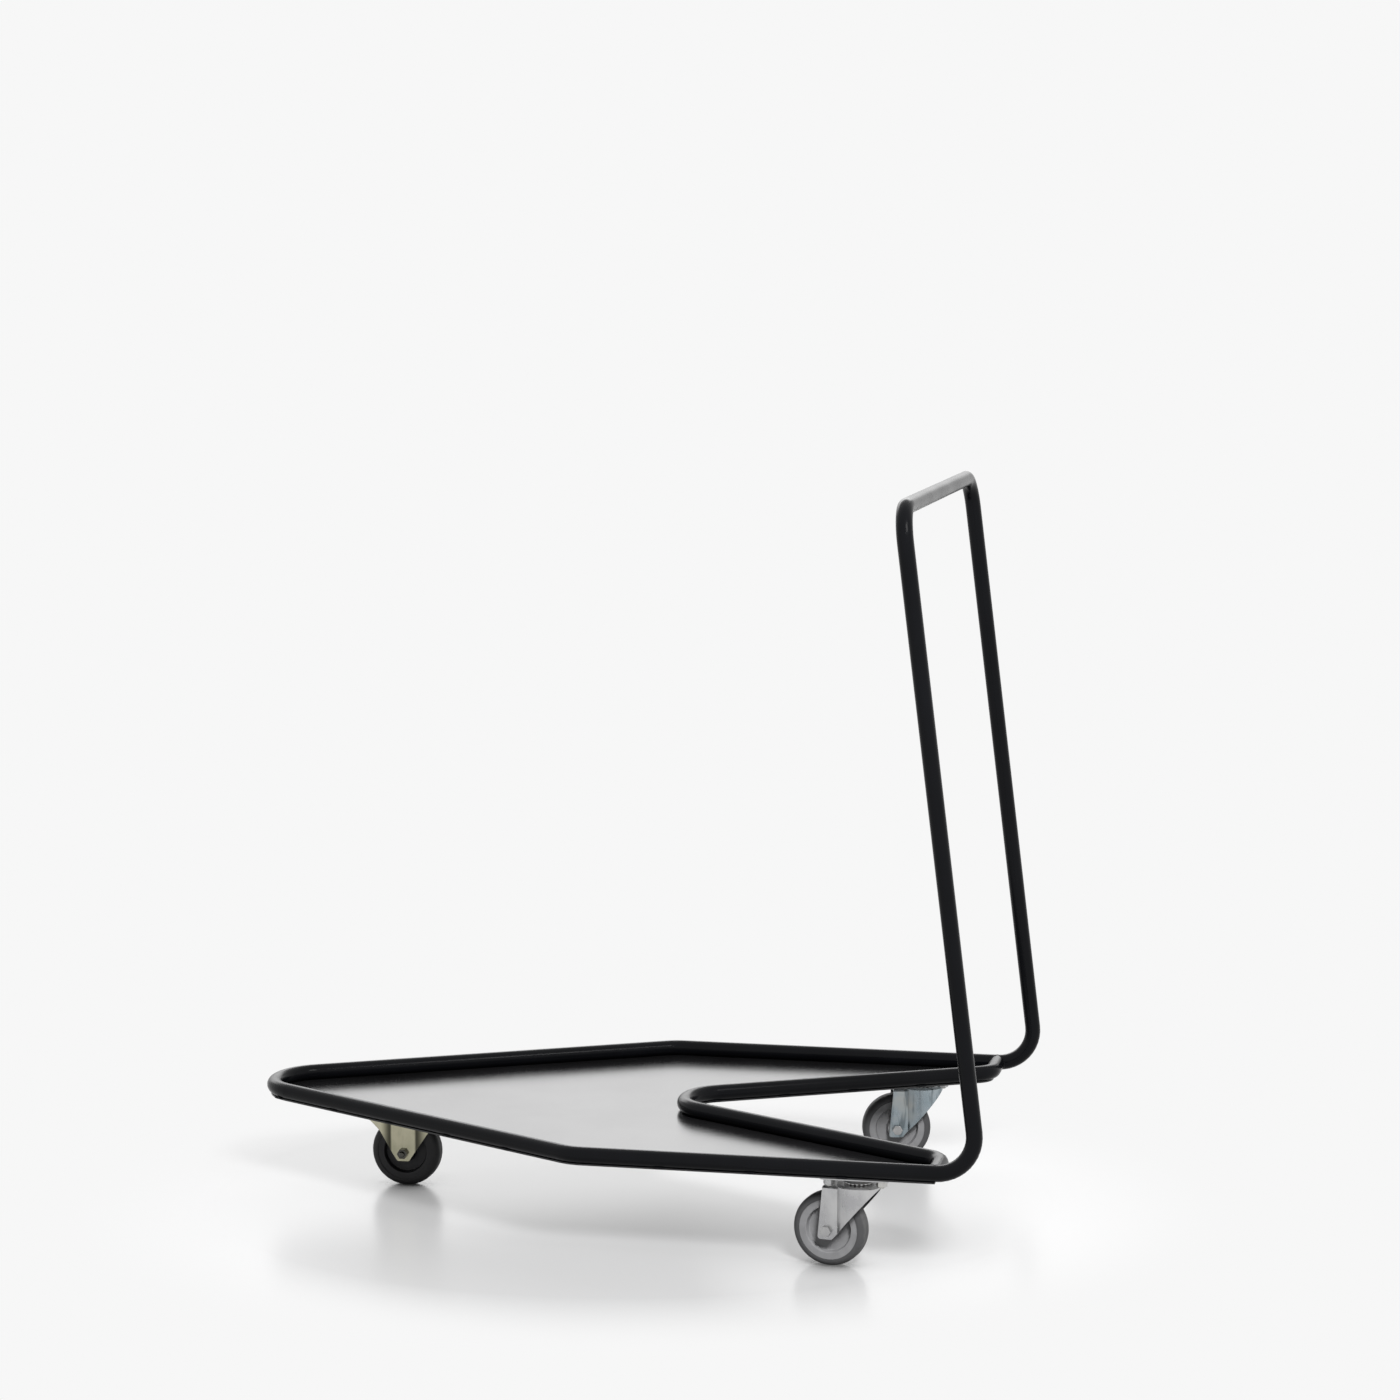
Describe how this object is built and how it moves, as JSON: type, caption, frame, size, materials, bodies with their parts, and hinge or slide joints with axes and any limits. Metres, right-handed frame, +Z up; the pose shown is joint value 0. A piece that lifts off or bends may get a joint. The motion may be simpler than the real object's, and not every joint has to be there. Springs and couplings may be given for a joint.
{
  "type": "table trolley",
  "caption": "Low arrow-shaped push trolley: a sheet tray in a bent-tube rim, notched at the rear to nest, with a tall hoop handle, swivel castors and a fixed nose castor.",
  "frame": {"origin": "on the floor, below the middle of the outline", "axes": "+X to the left of a person at the handle, +Y from the nose to the handle, +Z up"},
  "size_m": [0.68, 1.0762, 1.016],
  "materials": {
    "frame_black": "satin powder coat",
    "tray_black": "satin powder coat",
    "raw_steel": "plain drawn steel",
    "fastener_zinc": "bright zinc plate",
    "plate_zinc": "bright zinc plate",
    "left_fork_zinc": "bright zinc plate",
    "right_fork_zinc": "bright zinc plate, bluish",
    "ball_steel": "polished",
    "axle_zinc": "bright zinc plate",
    "bush_nylon": "moulded nylon",
    "core_grey": "moulded",
    "tyre_grey": "matt",
    "yellow_zinc": "yellow passivated zinc plate",
    "dark_zinc": "darkened zinc plate",
    "core_black": "moulded",
    "tyre_black": "matt"
  },
  "bodies": {
    "frame": {"rim_tube": "frame_black", "handle_hoop": "frame_black", "notch_tube": "frame_black", "tray_plate": "tray_black", "joint_sleeves": "raw_steel", "castor_studs": "fastener_zinc", "castor_washers": "fastener_zinc", "castor_nuts": "fastener_zinc", "left_top_plate": "plate_zinc", "left_king_pin": "raw_steel", "left_race_cup": "raw_steel", "left_lower_balls": "ball_steel", "right_top_plate": "plate_zinc", "right_king_pin": "raw_steel", "right_race_cup": "raw_steel", "right_lower_balls": "ball_steel", "front_top_plate": "yellow_zinc", "front_fork": "yellow_zinc", "front_axle_bolt": "dark_zinc", "front_axle_nut": "dark_zinc", "front_axle_sleeve": "raw_steel"},
    "left_swivel": {"left_fork": "left_fork_zinc", "left_upper_balls": "ball_steel", "left_axle_bolt": "axle_zinc", "left_axle_nut": "axle_zinc", "left_axle_sleeve": "raw_steel"},
    "left_wheel": {"left_wheel_core": "core_grey", "left_tyre": "tyre_grey", "left_wheel_bushes": "bush_nylon"},
    "right_swivel": {"right_fork": "right_fork_zinc", "right_upper_balls": "ball_steel", "right_axle_bolt": "axle_zinc", "right_axle_nut": "axle_zinc", "right_axle_sleeve": "raw_steel"},
    "right_wheel": {"right_wheel_core": "core_grey", "right_tyre": "tyre_grey", "right_wheel_bushes": "bush_nylon"},
    "front_wheel": {"front_wheel_core": "core_black", "front_tyre": "tyre_black", "front_wheel_bushes": "bush_nylon"}
  },
  "joints": [
    {"name": "left_swivel_turn", "type": "hinge", "parent": "frame", "child": "left_swivel", "pos_m": [0.288, 0.36982, 0.05], "axis": [0, 0, 1], "continuous": true},
    {"name": "left_wheel_spin", "type": "hinge", "parent": "left_swivel", "child": "left_wheel", "pos_m": [0.28206, 0.33228, 0.05], "axis": [0.9877, -0.1564, 0], "continuous": true},
    {"name": "right_swivel_turn", "type": "hinge", "parent": "frame", "child": "right_swivel", "pos_m": [-0.288, 0.36982, 0.05], "axis": [0, 0, 1], "continuous": true},
    {"name": "right_wheel_spin", "type": "hinge", "parent": "right_swivel", "child": "right_wheel", "pos_m": [-0.27913, 0.33287, 0.05], "axis": [0.9724, 0.2334, 0], "continuous": true},
    {"name": "front_wheel_spin", "type": "hinge", "parent": "frame", "child": "front_wheel", "pos_m": [0, -0.33271, 0.05], "axis": [1, 0, 0], "continuous": true}
  ]
}
